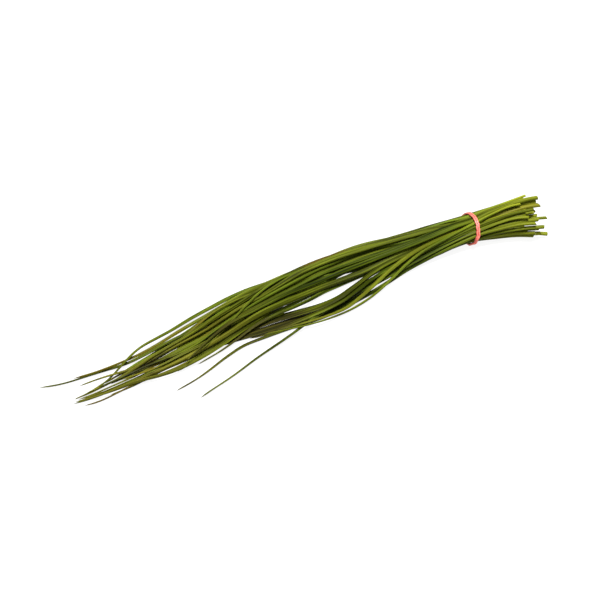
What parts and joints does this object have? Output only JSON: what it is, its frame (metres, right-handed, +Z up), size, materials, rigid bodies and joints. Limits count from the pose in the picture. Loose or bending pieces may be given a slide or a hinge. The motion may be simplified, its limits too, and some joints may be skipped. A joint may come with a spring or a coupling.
{
  "type": "chive bunch",
  "caption": "Bunch of fresh cut chives lying down, thin round green leaves held near the cut ends by a doubled rubber band, tips spread over the table",
  "frame": {"origin": "on the table, under the middle of the bounding box", "axes": "+X along the bunch from the leaf tips to the cut ends, +Y to the far side, +Z up"},
  "size_m": [0.3004, 0.0716, 0.0206],
  "materials": {
    "leaf": "waxy leaf skin, half gloss",
    "band_rubber": "matt"
  },
  "bodies": {
    "root": {"back_leaf_01": "leaf", "back_leaf_02": "leaf", "back_leaf_03": "leaf", "back_leaf_04": "leaf", "back_leaf_05": "leaf", "back_leaf_06": "leaf", "back_leaf_07": "leaf", "back_leaf_08": "leaf", "back_leaf_09": "leaf", "back_leaf_10": "leaf", "back_leaf_11": "leaf", "back_leaf_12": "leaf", "back_leaf_13": "leaf", "back_leaf_14": "leaf", "back_leaf_15": "leaf", "back_leaf_16": "leaf", "back_leaf_17": "leaf", "back_leaf_18": "leaf", "back_leaf_19": "leaf", "back_leaf_20": "leaf", "back_leaf_21": "leaf", "back_leaf_22": "leaf", "front_leaf_01": "leaf", "front_leaf_02": "leaf", "front_leaf_03": "leaf", "front_leaf_04": "leaf", "front_leaf_05": "leaf", "front_leaf_06": "leaf", "front_leaf_07": "leaf", "loose_leaf_01": "leaf", "loose_leaf_02": "leaf", "loose_leaf_03": "leaf", "loose_leaf_04": "leaf", "loose_leaf_05": "leaf", "loose_leaf_06": "leaf", "loose_leaf_07": "leaf", "loose_leaf_08": "leaf", "loose_leaf_09": "leaf", "loose_leaf_10": "leaf", "loose_leaf_11": "leaf", "loose_leaf_12": "leaf", "loose_leaf_13": "leaf", "rubber_band": "band_rubber"}
  },
  "joints": []
}
